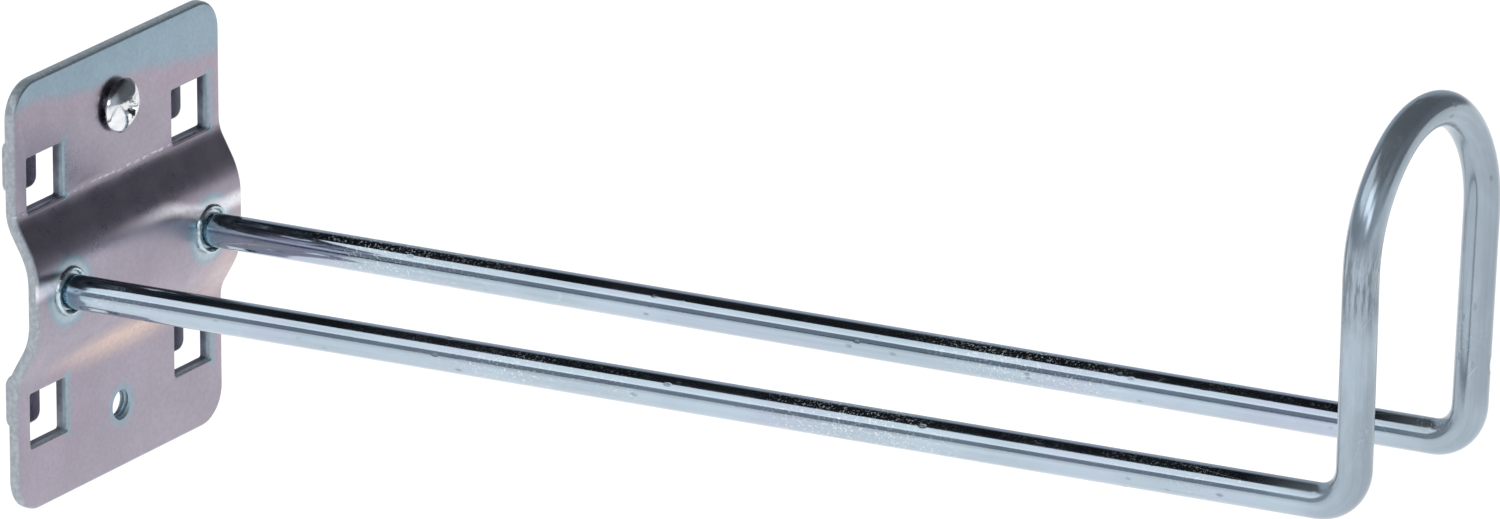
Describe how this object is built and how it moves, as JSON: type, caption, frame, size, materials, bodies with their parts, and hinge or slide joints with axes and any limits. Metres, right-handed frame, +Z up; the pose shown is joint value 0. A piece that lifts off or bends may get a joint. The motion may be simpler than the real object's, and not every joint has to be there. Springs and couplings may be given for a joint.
{
  "type": "tool panel hook",
  "caption": "Steel hook for a square-hole tool panel: ribbed plate with hanging tabs, bent wire arms with an upturned end loop, and a clamp screw.",
  "frame": {"origin": "centre of the plate's outline, on the plate's flat back face that meets the tool panel", "axes": "+Z up the plate, +X across it, +Y into the tool panel; the arms run out along -Y"},
  "size_m": [0.054, 0.2411, 0.1049],
  "materials": {
    "plate_zinc": "satin zinc plating with a faint mauve and blue tint",
    "wire_zinc": "bright drawn wire, zinc plated, lightly scuffed",
    "weld_zinc": "zinc plated weld metal",
    "screw_zinc": "bright zinc plating"
  },
  "bodies": {
    "rack": {"back_plate": "plate_zinc", "hook_wire": "wire_zinc", "left_weld_collar": "weld_zinc", "right_weld_collar": "weld_zinc"},
    "screw": {"clamp_screw": "screw_zinc"}
  },
  "joints": [
    {"name": "screw_turn", "type": "hinge", "parent": "rack", "child": "screw", "pos_m": [0, -0.002, 0.02435], "axis": [0, 1, 0], "range_deg": [-1080, 335]}
  ]
}
